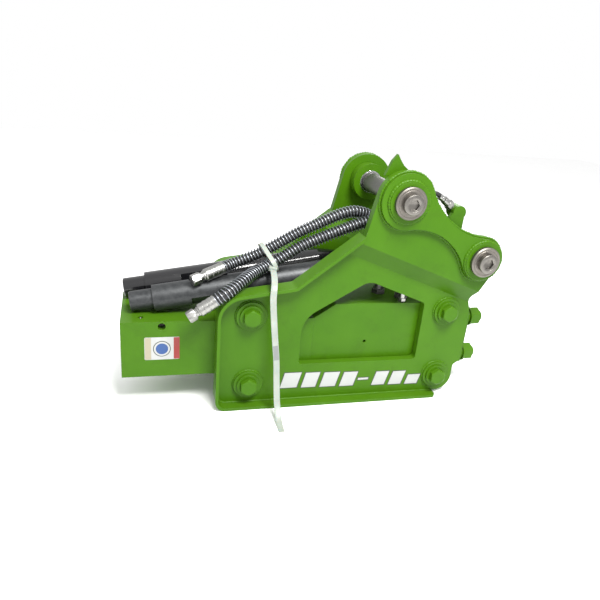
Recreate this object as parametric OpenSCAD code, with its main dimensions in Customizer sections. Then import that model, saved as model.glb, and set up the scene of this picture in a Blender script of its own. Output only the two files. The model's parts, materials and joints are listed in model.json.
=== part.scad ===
// Hydraulic breaker hammer, side-plate type, lying on the lower edges of its two side plates.
// +X runs from the tool end to the back head, +Z is up, the symmetry plane is y = 0.
// The origin is under the middle of the hammer, on the surface it rests on.

/* [Hammer body] */
// Length of the front head
front_len = 310; // [300:1:320]
// Width of the body between the side plates
body_w = 206; // [204:1:210]
// Height of the front head and of the back head
body_h = 150; // [146:1:152]
// Height of the piston axis above the ground
axis_z = 160; // [158:1:162]
// Diameter of the working tool
tool_d = 68; // [66:1:70]
// Piston diameter over its lands
piston_d = 76; // [72:1:78]

/* [Side plates] */
// Thickness of each side plate
plate_t = 22; // [20:1:25]
// Outward step of the ears from the lower part of the plate
ear_step = 25; // [20:1:28]
// Depth of the welded rim in front of the plate
rim_d = 30; // [26:1:32]
// Thickness of the welded rim
rim_t = 8; // [6:1:10]

/* [Arm pins] */
// Diameter of both arm pins
pin_d = 50; // [45:1:50]
// Outer diameter of the pin bosses
boss_d = 100; // [96:1:104]
// Clear gap between the bosses, for the excavator arm
arm_gap = 190; // [180:1:200]

/* [Fasteners] */
// Tie rod diameter
rod_d = 24; // [22:1:24]
// Side bolt diameter
side_bolt_d = 27; // [24:1:27]

/* [Stowed tools] */
// Overall length of each spare chisel
chisel_len = 650; // [600:5:655]
// Angle at which the spare chisels lean on the upper side bolt
chisel_lean = 8.7; // [8.7:0.1:9.2]

/* [Hoses] */
// Outer diameter of the two main hoses
hose_d = 25; // [22:1:26]
// Outer diameter of the spring guard over each hose
guard_d = 34; // [32:1:34]

/* [Hidden] */

fine = 64;
touch = 0.3;

// Stations along X
tool_end = -500;
head_joint = tool_end + front_len;
block_start = -14;
block_full = 42;
back_start = 314;
back_end = 445;
rod_start = -372;
rod_end = 500;

// The thick valve block of the cylinder
block_half_h = 113;
block_w = body_w - 4;

// Bores on the piston axis
bush_d = 100;
bush_start = tool_end + 12;
bush_end = -422;
thrust_start = -378;
thrust_end = -305;
seal_bore_d = 112;
relief_d = tool_d + 12;
chamber_d = 86;
front_guide_d = 62;
rear_guide_d = 56;
lands = [[-70, -5], [70, 150]];
carrier_d = 92;
carrier_start = 236;

// Tool retaining pins, upright, and the stop pin that crosses above them
tool_pin_x = -402;
tool_pin_y = 46;
tool_pin_d = 36;
tool_pin_low = 100;
tool_pin_high = 212;
stop_pin_d = 18;
stop_pin_z = 222;
stop_pin_half = 80;
plug_d = 28;
plug_depth = 8;
nipple_pos = [-452, -71];

// Valve
spool_d = 26;
spool_pos = [240, 45, axis_z + 85];
spool_len = 96;
valve_plug_d = 34;

// Oil ports on top of the block: port hose, return hose and grease line
ports = [[245, -58], [192, -20]];
port_d = 24;
lube_port = [236, -86];

// Tie rods and side bolts
rod_y = 74;
rod_z = 57;
rod_spots = [for (y = [-rod_y, rod_y], z = [-rod_z, rod_z]) [y, axis_z + z]];
side_bolt_spots = [for (x = [-186, 354], z = [-97, 97]) [x, axis_z + z]];
side_boss_d = 76;
side_boss_t = 8;
hex_af = 41;
rod_nut_af = 46;
rod_nut_from = back_end + 15;
rod_nut_hex = 27;
bolt_head_h = 14;
bolt_washer_d = 60;
bolt_washer_t = 6;

// Keys between the body and the side plates, half in each
key_from = [-120, 135];
key_size = [60, 50];
key_depth = 10;

// Side plate planes, measured from the symmetry plane
plate_in = body_w / 2;
plate_out = plate_in + plate_t;
ear_in = plate_in + ear_step;
ear_out = ear_in + plate_t;
doubler_t = 12;
boss_out = ear_out + doubler_t + 6;
bend_dir = -20.4;
bend_low = 411;
bend_high = 450;

// Side plate outline in the X-Z plane
upper_eye = [174, 560];
lower_eye = [408, 414];
upper_r = 72;
lower_r = 60;
saddle_r = 200;
waist_r = 160;
foot_z = rim_t;
plate_left = -264;
shoulder = [-79, 331.5];
flank_foot = [78, 457];
throat = [412, 300];
bottom_stop = 356;

// Arm pin details
pin_end = boss_out + touch;
washer_d = 80;
washer_t = 12;
screw_d = 30;
screw_head_d = 50;
screw_head_h = 14;
socket_af = 24;
groove_d = pin_d - 5;
groove_w = 5;
bush_wall = 6;
run_gap = 0.05;
screw_gap = 0.08;

// Spare chisels
shank_d = 52;
shank_len = 57;
chisel_z = 261.2;
near_chisel_at = [-477, -33];
near_chisel_roll = 50;
far_chisel_at = [-495, 63];
notch_from = 150;
notch_len = 100;
notch_depth = 10;
point_len = 120;

// Hoses: points along the middle of each hose, from its port to its free end
port_top = axis_z + block_half_h + 27;
port_route = [
    [245, -58, 372], [245, -58, 392], [241, -58, 411], [230, -58, 435], [212, -58, 457],
    [188, -58, 474], [162, -57, 483], [138, -56, 485], [100, -54, 478], [48, -52, 458],
    [-4, -50, 436], [-55, -50, 412], [-97, -52, 386], [-135, -57, 366], [-172, -76, 354],
    [-212, -116, 343], [-251, -145, 325], [-278, -150, 309]];
port_tip = [-342.8, -162, 270.6];
return_route = [
    [192, -20, 372], [192, -20, 400], [189, -20, 425], [178, -20, 451], [160, -20, 473],
    [136, -20, 491], [112, -20, 499], [86, -21, 501], [51, -22, 492], [0, -23, 469],
    [-52, -24, 445], [-92, -24, 422], [-133, -24, 398], [-172, -23, 378], [-220, -24, 359],
    [-247, -34, 351]];
return_tip = [-328, -64, 327];
lube_route = [
    [295, -108, 559], [283, -108, 568], [269, -108, 574], [254, -107, 573], [243, -105, 560],
    [237, -101, 540], [235, -96, 505], [235, -90, 460], [236, -87, 400], [236, -86, 350],
    [236, -86, 296]];
lube_d = 12;
lug_at = [335, 530];
lug_r = 18;

// Cable tie
tie_at = [-134, -40, 382];
tie_along = [-0.885, -0.143, -0.438];
tie_across = [2, 33, 32];
tie_slack = 2.5;
tie_w = 16;
loop_w = 11;
tie_t = 1.8;
strap_route = [
    [-129, -80, 364], [-132, -112, 360], [-136, -142, 351], [-140, -159, 336], [-141, -164, 310],
    [-136, -164, 260], [-129, -164, 200], [-123, -166, 150], [-120, -172, 95], [-119, -186, 48],
    [-119, -210, 17], [-119, -238, 3], [-119, -262, 1.5]];

// ---- plane geometry --------------------------------------------------------------------------

function unit(v) = v / norm(v);
function left_of(v) = [-v[1], v[0]];
function heading(v) = atan2(v[1], v[0]);
function cross2(a, b) = a[0] * b[1] - a[1] * b[0];
function dir(a) = [cos(a), sin(a)];

// Points of an arc from angle a to angle b
function arc(c, r, a, b) =
    let (steps = max(2, ceil(abs(b - a) / 6)))
    [for (i = [0:steps]) c + r * dir(a + (b - a) * i / steps)];

// Corner q between p and s, rounded to radius r
function round_corner(p, q, s, r) =
    let (u = unit(q - p), w = unit(s - q), turn = atan2(cross2(u, w), u * w),
         side = sign(turn), start = q - u * r * tan(abs(turn) / 2),
         c = start + side * r * left_of(u), from = heading(start - c))
    arc(c, r, from, from + turn);

// Corner q of a path moved by d to the left of its direction
function moved(p, q, s, d) =
    let (a = left_of(unit(q - p)), b = left_of(unit(s - q)))
    q + d * (a + b) / (1 + a * b);

// Where the line from p along u meets the line from q along w
function meet(p, u, q, w) = p + u * cross2(q - p, w) / cross2(u, w);

// Centre of the circle of radius r that touches two circles from outside, left of a to b
function cradle(a, ra, b, rb, r) =
    let (d = norm(b - a), u = (b - a) / d, along = ((ra + r) ^ 2 - (rb + r) ^ 2 + d * d) / (2 * d),
         up = sqrt((ra + r) ^ 2 - along ^ 2))
    a + along * u + up * left_of(u);

function rounded(p, radii) =
    let (n = len(p))
    [for (i = [0:n - 1])
        each round_corner(p[(i + n - 1) % n], p[i], p[(i + 1) % n], radii[i])];

// ---- outlines of the side plates -------------------------------------------------------------

// Corners of the lower plate, clockwise from the foot, and the radius at each
left_foot = [plate_left, foot_z];
left_top = [plate_left, 304];
rim_corners = [[bottom_stop, foot_z], left_foot, left_top, shoulder, flank_foot];
rim_radii = [0, 20, 57, 30, 0];

// Rim line moved outwards by d, without its two ends
function rim_bends(d) = [for (i = [1:3])
    let (p = rim_corners[i - 1], q = rim_corners[i], s = rim_corners[i + 1],
         before = i == 1 ? p + [0, -d] : moved(i > 1 ? rim_corners[i - 2] : p, p, q, d),
         at = moved(p, q, s, d),
         after = i == 3 ? s + d * left_of(unit(s - q)) : moved(q, s, rim_corners[i + 2], d),
         bulge = i == 3 ? -d : d)
    each round_corner(before, at, after, rim_radii[i] + bulge)];

flank_turn = heading(upper_eye - flank_foot)
    + asin(upper_r / norm(upper_eye - flank_foot));
throat_turn = heading(lower_eye - throat) - asin(lower_r / norm(lower_eye - throat));
saddle = cradle(upper_eye, upper_r, lower_eye, lower_r, saddle_r);

function lobes(ru, rl, top, rs) = concat(
    arc(upper_eye, ru, flank_turn + 90, heading(top - upper_eye)),
    arc(top, rs, heading(upper_eye - top), heading(lower_eye - top) ),
    arc(lower_eye, rl, heading(top - lower_eye), throat_turn - 90));

function plate_points() = concat(
    rim_bends(0), [flank_foot], lobes(upper_r, lower_r, saddle, saddle_r),
    round_corner([460, 384], throat, [426, 255], 25),
    round_corner(throat, [426, 255], [426, 100], 60),
    round_corner([426, 255], [426, 100], [409, 88], 8),
    round_corner([426, 100], [409, 88], [409, foot_z], 8),
    round_corner([409, 88], [409, foot_z], [300, foot_z], 44));

window_corners = [[-52, 112], [285, 112], [285, 281.4], [118, 345.5], [-52, 242.6]];
window_radii = [8, 10, 10, 42, 70];

// A flat shape in X-Z, given thickness from y0 to y1
module upright(y0, y1) {
    translate([0, y1, 0]) rotate([90, 0, 0]) linear_extrude(y1 - y0) children();
}

module along_y(at, d, y0, y1, facets = fine) {
    translate([at[0], y1, at[1]]) rotate([90, 0, 0]) cylinder(d = d, h = y1 - y0, $fn = facets);
}

module along_x(at, d, x0, x1, facets = fine) {
    translate([x0, at[0], at[1]]) rotate([0, 90, 0]) cylinder(d = d, h = x1 - x0, $fn = facets);
}

module mirror_far() {
    mirror([0, 1, 0]) children();
}

// The bent sheet of the near side plate: flat below, stepping out between the two bend lines
module bent_sheet() {
    lag = plate_t * tan(atan(ear_step / (bend_high - bend_low)) / 2);
    reach = 900;
    rotate([0, -bend_dir, 0])
        translate([-reach, 0, 0])
        rotate([90, 0, 90])
        linear_extrude(2 * reach)
        polygon([[-plate_out, -reach], [-plate_out, bend_low], [-ear_out, bend_high],
            [-ear_out, reach], [-ear_in, reach], [-ear_in, bend_high + lag],
            [-plate_in, bend_low + lag], [-plate_in, -reach]]);
}

module near_plate_blank() {
    intersection() {
        bent_sheet();
        upright(-ear_out - 5, -plate_in + 5) polygon(plate_points());
    }
}

module side_plate_shape() {
    difference() {
        near_plate_blank();
        upright(-ear_out - 10, -plate_in + 10) polygon(rounded(window_corners, window_radii));
        for (p = [upper_eye, lower_eye]) along_y(p, boss_d, -ear_out - 10, -plate_in + 10);
        for (p = side_bolt_spots) along_y(p, side_bolt_d, -plate_out - 10, -plate_in + 10);
        key_blocks();
    }
}

module rim_shape() {
    flank = dir(flank_turn);
    climb = unit(flank_foot - shoulder);
    out_end = meet(flank_foot + rim_t * left_of(climb), climb, flank_foot, flank);
    inner = concat([rim_corners[0]], rim_bends(0), [flank_foot]);
    outer = concat([rim_corners[0] + [0, -rim_t]], rim_bends(rim_t), [out_end]);
    n = len(outer);
    front = -plate_out - rim_d;
    turned = 14;
    free_end = [bottom_stop - turned, front + turned];
    corner = concat([free_end + [0, -turned - 1], free_end + [turned + 1, -turned - 1],
        free_end + [turned + 1, 0]], arc(free_end, turned, 0, -90));
    color("yellowgreen")
        difference() {
            upright(front, -plate_in) polygon(concat(inner, [for (i = [n - 1:-1:0]) outer[i]]));
            // the rounded free corner at the back end of the foot
            translate([0, 0, -1]) linear_extrude(rim_t + 2) polygon(corner);
        }
}

module doubler_shape() {
    inset = 3;
    low = cradle(lower_eye, lower_r - inset, upper_eye, upper_r - inset, waist_r);
    outline = concat(
        arc(upper_eye, upper_r - inset, heading(low - upper_eye) , heading(saddle - upper_eye) - 360),
        arc(saddle, saddle_r + inset, heading(upper_eye - saddle), heading(lower_eye - saddle)),
        arc(lower_eye, lower_r - inset, heading(saddle - lower_eye), heading(low - lower_eye)),
        arc(low, waist_r, heading(lower_eye - low), heading(upper_eye - low)));
    color("olivedrab")
        difference() {
            upright(-ear_out - doubler_t, -ear_out) polygon(outline);
            for (p = [upper_eye, lower_eye]) along_y(p, boss_d, -ear_out - doubler_t - 1, 0);
        }
}

module pin_boss_shapes() {
    color("olivedrab")
        for (p = [upper_eye, lower_eye])
            difference() {
                along_y(p, boss_d, -boss_out, -arm_gap / 2);
                along_y(p, pin_d + 2 * bush_wall, -boss_out - 1, -arm_gap / 2 + 1);
            }
}

module pin_bush_shapes() {
    color("silver")
        for (p = [upper_eye, lower_eye])
            difference() {
                along_y(p, pin_d + 2 * bush_wall, -boss_out, -arm_gap / 2);
                along_y(p, pin_d + 2 * run_gap, -boss_out - 1, -arm_gap / 2 + 1);
            }
}

// Hexagon from z = 0 to h, with its corners turned off at the top
module hex_block(af, h) {
    corner = af / cos(30) / 2;
    flat = 0.47 * af;
    intersection() {
        cylinder(r = corner, h = h, $fn = 6);
        rotate_extrude($fn = 96)
            polygon([[0, -1], [corner + 1, -1], [corner + 1, h - (corner + 1 - flat) * tan(30)],
                [flat, h], [0, h]]);
    }
}

// ---- hammer body -----------------------------------------------------------------------------

module body_section(x0, x1, w) {
    translate([x0, -w / 2, axis_z - body_h / 2]) cube([x1 - x0, w, body_h]);
}

module rod_holes(x0, x1) {
    for (p = rod_spots) along_x(p, rod_d + 1, x0, x1);
}

module piston_bore(d, x0, x1) {
    along_x([0, axis_z], d, x0, x1, 96);
}

module front_head() {
    color("yellowgreen")
        difference() {
            body_section(tool_end, head_joint, body_w);
            piston_bore(seal_bore_d, tool_end - 1, bush_start);
            piston_bore(bush_d, bush_start - 1, thrust_end);
            piston_bore(chamber_d, thrust_end - 1, head_joint + 1);
            rod_holes(rod_start, head_joint + 1);
            for (s = [-1, 1])
                translate([tool_pin_x, s * tool_pin_y, tool_pin_low])
                    cylinder(d = tool_pin_d, h = body_h, $fn = fine);
            along_y([tool_pin_x, stop_pin_z], stop_pin_d + 0.6, -body_w, stop_pin_half + 1);
            along_y([tool_pin_x, stop_pin_z], plug_d, -body_w, -body_w / 2 + plug_depth);
            translate([nipple_pos[0], nipple_pos[1], axis_z + body_h / 2 - 12])
                cylinder(d = 14, h = 30, $fn = 32);
        }
}

module tool_bush() {
    color("silver")
        difference() {
            piston_bore(bush_d, bush_start, bush_end);
            piston_bore(tool_d + 0.2, bush_start - 1, bush_end + 1);
        }
}

module thrust_bush() {
    color("gray")
        difference() {
            piston_bore(bush_d, thrust_start, thrust_end);
            piston_bore(tool_d + 1, thrust_start - 1, thrust_end + 1);
        }
}

module dust_seal() {
    color("black")
        difference() {
            piston_bore(seal_bore_d, tool_end, bush_start);
            piston_bore(tool_d + 1.6, tool_end - 1, bush_start + 1);
        }
}

module tool_pins() {
    color("dimgray")
        for (s = [-1, 1])
            translate([tool_pin_x, s * tool_pin_y, tool_pin_low])
                cylinder(d = tool_pin_d, h = tool_pin_high - tool_pin_low, $fn = fine);
}

// Painted caps that close the tops of the tool pin holes
module tool_pin_covers() {
    top = axis_z + body_h / 2;
    color("yellowgreen")
        for (s = [-1, 1])
            translate([tool_pin_x, s * tool_pin_y, top - 3.5])
                cylinder(d = tool_pin_d, h = 3.5, $fn = fine);
}

module stop_pin() {
    color("dimgray")
        difference() {
            along_y([tool_pin_x, stop_pin_z], stop_pin_d, -stop_pin_half, stop_pin_half);
            along_y([tool_pin_x, stop_pin_z], 8, -stop_pin_half - 1, -stop_pin_half + 20);
        }
}

module stop_pin_plug() {
    color("yellowgreen")
        difference() {
            along_y([tool_pin_x, stop_pin_z], plug_d, -body_w / 2, -body_w / 2 + plug_depth);
            along_y([tool_pin_x, stop_pin_z], stop_pin_d + 1, -body_w, -body_w / 2 + plug_depth + 1);
        }
}

module grease_nipple() {
    base = axis_z + body_h / 2 - 12;
    color("silver")
        translate([nipple_pos[0], nipple_pos[1], base])
        union() {
            cylinder(d = 14, h = 4, $fn = 32);
            cylinder(d = 7, h = 9, $fn = 32);
            translate([0, 0, 9]) sphere(d = 6.4, $fn = 24);
        }
}

module block_outline() {
    low = axis_z - block_half_h;
    high = axis_z + block_half_h;
    polygon([[block_start, axis_z - body_h / 2], [block_full, low], [back_start, low],
        [back_start, high], [block_full, high], [block_start, axis_z + body_h / 2]]);
}

module cylinder_body() {
    color("yellowgreen")
        difference() {
            union() {
                body_section(head_joint, block_start, body_w);
                upright(-block_w / 2, block_w / 2) block_outline();
            }
            piston_bore(front_guide_d + 2 * run_gap, head_joint - 1, lands[0][0] - 30);
            piston_bore(piston_d + 2 * run_gap, lands[0][0] - 31, carrier_start);
            piston_bore(carrier_d, carrier_start - 1, back_start + 1);
            rod_holes(head_joint - 1, back_start + 1);
            key_blocks();
            translate([0, 0, axis_z + block_half_h - 22])
                for (p = ports) translate(p) cylinder(d = port_d, h = 30, $fn = 48);
            translate([lube_port[0], lube_port[1], axis_z + block_half_h - 12])
                cylinder(d = 12, h = 30, $fn = 32);
            along_x([spool_pos[1], spool_pos[2]], spool_d + 2 * run_gap,
                spool_pos[0] - 75, back_start + 1);
            along_x([spool_pos[1], spool_pos[2]], valve_plug_d, back_start - 18, back_start + 1);
            // small plugged gallery on the near face
            along_y([136, 161], 9, -body_w, -block_w / 2 + 10, 32);
        }
}

module piston() {
    color("silver")
        difference() {
            union() {
                piston_bore(front_guide_d, -262, lands[0][0] + 1);
                for (l = lands) piston_bore(piston_d, l[0], l[1]);
                piston_bore(piston_d - 8, lands[0][1] - 1, lands[1][0] + 1);
                piston_bore(rear_guide_d, lands[1][1] - 1, 322);
            }
            for (x = [-50, -35, 92, 110, 128])
                difference() {
                    piston_bore(piston_d + 2, x, x + 4);
                    piston_bore(piston_d - 5, x - 1, x + 5);
                }
        }
}

module seal_carrier() {
    color("gray")
        difference() {
            piston_bore(carrier_d, carrier_start, back_start);
            piston_bore(rear_guide_d + 2 * run_gap, carrier_start - 1, back_start + 1);
            for (x = [250, 268, 290]) piston_bore(rear_guide_d + 12, x, x + 8);
        }
}

module piston_seals() {
    color("black")
        for (x = [250, 268, 290])
            difference() {
                piston_bore(rear_guide_d + 12, x, x + 8);
                piston_bore(rear_guide_d + 1, x - 1, x + 9);
            }
}

module valve_spool() {
    x0 = spool_pos[0] - 60;
    color("silver")
        difference() {
            along_x([spool_pos[1], spool_pos[2]], spool_d, x0, x0 + spool_len - 24);
            for (x = [x0 + 18, x0 + 44])
                difference() {
                    along_x([spool_pos[1], spool_pos[2]], spool_d + 2, x, x + 12);
                    along_x([spool_pos[1], spool_pos[2]], spool_d - 8, x - 1, x + 13);
                }
        }
}

module valve_plug() {
    color("gray")
        difference() {
            along_x([spool_pos[1], spool_pos[2]], valve_plug_d, back_start - 18, back_start);
            along_x([spool_pos[1], spool_pos[2]], 14, back_start - 8, back_start + 1, 6);
        }
}

module port_adapters() {
    base = axis_z + block_half_h;
    color("dimgray")
        for (p = ports)
            translate([p[0], p[1], base])
                union() {
                    translate([0, 0, -22]) cylinder(d = port_d, h = 22, $fn = 48);
                    cylinder(d = 40, h = 13, $fn = 6);
                    translate([0, 0, 13]) cylinder(d = 26, h = 14, $fn = 48);
                }
}

module back_head() {
    color("yellowgreen")
        difference() {
            body_section(back_start, back_end, body_w);
            piston_bore(100, back_start - 1, back_end - 32);
            piston_bore(30, back_end - 33, back_end + 1);
            rod_holes(back_start - 1, back_end + 1);
        }
}

module gas_valve() {
    color("goldenrod")
        union() {
            piston_bore(30, back_end - 32, back_end);
            along_x([0, axis_z], 26, back_end - 1, back_end + 10, 6);
            piston_bore(14, back_end + 9, back_end + 18);
        }
}

module tie_rods() {
    color("gray")
        for (p = rod_spots) along_x(p, rod_d, rod_start, rod_end - 12);
}

module rod_ring(d, x0, x1) {
    for (p = rod_spots)
        difference() {
            along_x(p, d, x0, x1);
            along_x(p, rod_d + 0.2, x0 - 1, x1 + 1);
        }
}

module tie_rod_spacers() {
    color("darkgreen") rod_ring(42, back_end, back_end + 10);
}

module tie_rod_washers() {
    color("yellowgreen") rod_ring(54, back_end + 10, rod_nut_from);
}

// Domed cap nuts
module tie_rod_nuts() {
    length = rod_end - rod_nut_from;
    dome = [for (a = [0:10:90]) [19 * cos(a), rod_nut_hex + (length - rod_nut_hex) * sin(a)]];
    cap = concat([[0, rod_nut_hex - 1], [19, rod_nut_hex - 1]], dome);
    color("yellowgreen")
        for (p = rod_spots)
            translate([rod_nut_from, p[0], p[1]])
                rotate([0, 90, 0])
                difference() {
                    union() {
                        hex_block(rod_nut_af, rod_nut_hex);
                        rotate_extrude($fn = 96) polygon(cap);
                    }
                    translate([0, 0, -1]) cylinder(d = rod_d + 0.2, h = length - 9, $fn = fine);
                }
}

// ---- arm pins --------------------------------------------------------------------------------

module arm_pin(eye) {
    color("dimgray")
        difference() {
            along_y(eye, pin_d, -pin_end, pin_end, 96);
            for (s = [-1, 1]) {
                mid = s * (arm_gap / 2 - groove_w / 2);
                difference() {
                    along_y(eye, pin_d + 2, mid - groove_w / 2, mid + groove_w / 2);
                    along_y(eye, groove_d, mid - groove_w, mid + groove_w);
                }
                along_y(eye, screw_d + 2 * screw_gap, s * pin_end - 46, s * pin_end + 46);
            }
        }
}

module pin_washer(eye) {
    color("silver")
        difference() {
            along_y(eye, washer_d, -pin_end - washer_t, -pin_end);
            along_y(eye, screw_d + 2 * screw_gap, -pin_end - washer_t - 1, -pin_end + 1);
        }
}

module pin_screw(eye) {
    head = -pin_end - washer_t;
    color("silver")
        difference() {
            union() {
                along_y(eye, screw_head_d, head - screw_head_h + 1.5, head);
                along_y(eye, screw_head_d - 3, head - screw_head_h, head);
                along_y(eye, screw_d, head, -pin_end + 42);
            }
            along_y(eye, socket_af / cos(30), head - screw_head_h - 1, head - screw_head_h + 10, 6);
        }
}

// ---- side bolts ------------------------------------------------------------------------------

module side_bolt_bosses() {
    color("olivedrab")
        for (p = side_bolt_spots, s = [-1, 1])
            difference() {
                along_y(p, side_boss_d, s > 0 ? plate_out : -plate_out - side_boss_t,
                    s > 0 ? plate_out + side_boss_t : -plate_out);
                along_y(p, side_bolt_d + 0.2, -ear_out, ear_out);
            }
}

washer_face = plate_out + side_boss_t;

module side_bolts() {
    face = washer_face + bolt_washer_t;
    color("olivedrab")
        for (p = side_bolt_spots)
            union() {
                along_y(p, side_bolt_d, -face, face + 26);
                translate([p[0], -face, p[1]]) rotate([90, 30, 0]) hex_block(hex_af, bolt_head_h);
            }
}

module side_bolt_washers() {
    color("olivedrab")
        for (p = side_bolt_spots, s = [-1, 1])
            difference() {
                along_y(p, bolt_washer_d, s > 0 ? washer_face : -washer_face - bolt_washer_t,
                    s > 0 ? washer_face + bolt_washer_t : -washer_face);
                along_y(p, side_bolt_d + 0.2, -200, 200);
            }
}

// Keys that stop the body from sliding between the plates
module key_blocks() {
    for (s = [-1, 1])
        translate([key_from[0], s * plate_in - key_depth, key_from[1]])
            cube([key_size[0], 2 * key_depth, key_size[1]]);
}

module plate_keys() {
    color("gray") key_blocks();
}

module side_bolt_nuts() {
    face = washer_face + bolt_washer_t;
    color("olivedrab")
        for (p = side_bolt_spots)
            difference() {
                translate([p[0], face, p[1]]) rotate([-90, 30, 0]) hex_block(hex_af, 22);
                along_y(p, side_bolt_d + 0.2, washer_face, washer_face + 60);
            }
}

// ---- parts between the ears ------------------------------------------------------------------

module hose_lug() {
    y0 = -ear_in;
    color("yellowgreen")
        difference() {
            union() {
                upright(y0, y0 + 12)
                    polygon([lug_at + [-14, 5], lug_at + [15, 0], [350, 470], [300, 470], [300, 505]]);
                along_y(lug_at, 2 * lug_r, y0, y0 + 38);
                upright(y0, y0 + 12)
                    polygon([[118, 616], [133, 651], [145, 666], [152, 655], [163, 641], [178, 630], [178, 616]]);
            }
            translate([lug_at[0], -108, lug_at[1]]) rotate([0, -54, 0])
                translate([0, 0, 8]) cylinder(d = 16, h = 40, $fn = 32);
        }
}

module lube_fittings() {
    // Union screwed into the lug, and the straight one on the block
    color("silver")
        union() {
            translate([lug_at[0], -108, lug_at[1]])
                rotate([0, -54, 0])
                union() {
                    translate([0, 0, 8]) cylinder(d = 16, h = 22, $fn = 32);
                    translate([0, 0, 23]) cylinder(d = 26, h = 10, $fn = 6);
                    translate([0, 0, 33]) cylinder(d = 20, h = 16.4, $fn = 32);
                }
            translate([lube_port[0], lube_port[1], axis_z + block_half_h])
                union() {
                    translate([0, 0, -12]) cylinder(d = 12, h = 12, $fn = 32);
                    cylinder(d = 22, h = 10, $fn = 6);
                    translate([0, 0, 10]) cylinder(d = 16, h = 13, $fn = 32);
                }
        }
}

// ---- swept tubes and bands -------------------------------------------------------------------

function route_dir(p, i) = unit(p[min(i + 1, len(p) - 1)] - p[max(i - 1, 0)]);

// Rings across a route; side keeps each ring square to a fixed direction
function rings(route, shape, side) = [for (i = [0:len(route) - 1])
    let (t = route_dir(route, i), a = unit(cross(side, t)), b = cross(t, a))
    for (s = shape) route[i] + s[0] * a + s[1] * b];

module sweep(route, shape, side) {
    n = len(shape);
    m = len(route);
    walls = [for (i = [0:m - 2], j = [0:n - 1])
        [i * n + j, (i + 1) * n + j, (i + 1) * n + (j + 1) % n, i * n + (j + 1) % n]];
    split = [for (w = walls) each [[w[0], w[1], w[2]], [w[0], w[2], w[3]]]];
    caps = [[for (j = [0:n - 1]) j], [for (j = [n - 1:-1:0]) (m - 1) * n + j]];
    polyhedron(rings(route, shape, side), concat(split, caps), convexity = 6);
}

// A hollow tube along a route
module sleeve(route, d_out, d_in) {
    outer = ring_shape(d_out);
    inner = ring_shape(d_in);
    n = len(outer);
    m = len(route);
    last = (m - 1) * n;
    deep = m * n;
    quads = concat(
        [for (i = [0:m - 2], j = [0:n - 1])
            [i * n + j, (i + 1) * n + j, (i + 1) * n + (j + 1) % n, i * n + (j + 1) % n]],
        [for (i = [0:m - 2], j = [0:n - 1])
            [deep + i * n + j, deep + i * n + (j + 1) % n,
                deep + (i + 1) * n + (j + 1) % n, deep + (i + 1) * n + j]],
        [for (j = [0:n - 1]) [j, (j + 1) % n, deep + (j + 1) % n, deep + j]],
        [for (j = [0:n - 1])
            [last + (j + 1) % n, last + j, deep + last + j, deep + last + (j + 1) % n]]);
    split = [for (w = quads) each [[w[0], w[1], w[2]], [w[0], w[2], w[3]]]];
    polyhedron(concat(rings(route, outer, [0, 1, 0]), rings(route, inner, [0, 1, 0])), split,
        convexity = 8);
}

function ring_shape(d, sides = 10) = [for (i = [0:sides - 1]) d / 2 * dir(360 * i / sides)];

module lube_line() {
    color("black") sweep(lube_route, ring_shape(lube_d, 8), [0, 1, 0]);
}

// Swivel nut and ferrule from a to b; the nut is at a
module hose_fitting(a, b, nut_d = 36) {
    v = b - a;
    l = norm(v);
    translate(a)
        rotate([0, acos(v[2] / l), atan2(v[1], v[0])])
        union() {
            cylinder(d = nut_d, h = 0.36 * l, $fn = 6);
            translate([0, 0, 0.36 * l]) cylinder(d = 26, h = 0.12 * l, $fn = 32);
            translate([0, 0, 0.48 * l]) cylinder(d = 32, h = 0.52 * l, $fn = 32);
        }
}

module hose_fittings(port, route, tip) {
    hose_fitting([port[0], port[1], port_top], route[0]);
    hose_fitting(tip, route[len(route) - 1], 30);
}

// ---- spare chisels ---------------------------------------------------------------------------

module chisel_frame(at) {
    translate([at[0], at[1], chisel_z]) rotate([0, 90 - chisel_lean, 0]) children();
}

module chisel_bar() {
    difference() {
        union() {
            translate([0, 0, 2]) cylinder(d = shank_d, h = shank_len, $fn = 96);
            cylinder(d1 = shank_d - 4, d2 = shank_d, h = 2.01, $fn = 96);
            translate([0, 0, shank_len]) cylinder(d = tool_d, h = chisel_len - shank_len - point_len, $fn = 96);
        }
        for (s = [-1, 1])
            translate([-tool_d / 2, s > 0 ? tool_d / 2 - notch_depth : -tool_d / 2, notch_from])
                cube([tool_d, notch_depth, notch_len]);
    }
}

module near_chisel() {
    color("dimgray")
        chisel_frame(near_chisel_at)
        rotate([0, 0, near_chisel_roll])
        union() {
            chisel_bar();
            translate([0, 0, chisel_len - point_len - 0.01])
                cylinder(d1 = tool_d, d2 = 10, h = point_len, $fn = 96);
        }
}

module far_chisel() {
    color("black")
        chisel_frame(far_chisel_at)
        union() {
            chisel_bar();
            translate([0, 0, chisel_len - point_len - 0.01])
                cylinder(d1 = tool_d, d2 = 10, h = point_len, $fn = 96);
        }
}

// ---- cable tie -------------------------------------------------------------------------------

// Outline round two hoses that lie d apart
function around_two(r, d) = concat(arc([-d / 2, 0], r, 270, 90), arc([d / 2, 0], r, 90, -90));

module tie_loop() {
    pitch = acos(tie_along[2] / norm(tie_along));
    yaw = atan2(tie_along[1], tie_along[0]);
    a = [cos(pitch) * cos(yaw), cos(pitch) * sin(yaw), -sin(pitch)];
    b = [-sin(yaw), cos(yaw), 0];
    roll = atan2(tie_across * b, tie_across * a);
    apart = norm(tie_across);
    inside = guard_d / 2 + tie_slack;
    color("white")
        translate(tie_at)
        rotate([0, pitch, yaw])
        rotate([0, 0, roll])
        translate([0, 0, -loop_w / 2])
        difference() {
            linear_extrude(loop_w) polygon(around_two(inside + tie_t, apart));
            translate([0, 0, -1]) linear_extrude(loop_w + 2) polygon(around_two(inside, apart));
        }
}

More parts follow.
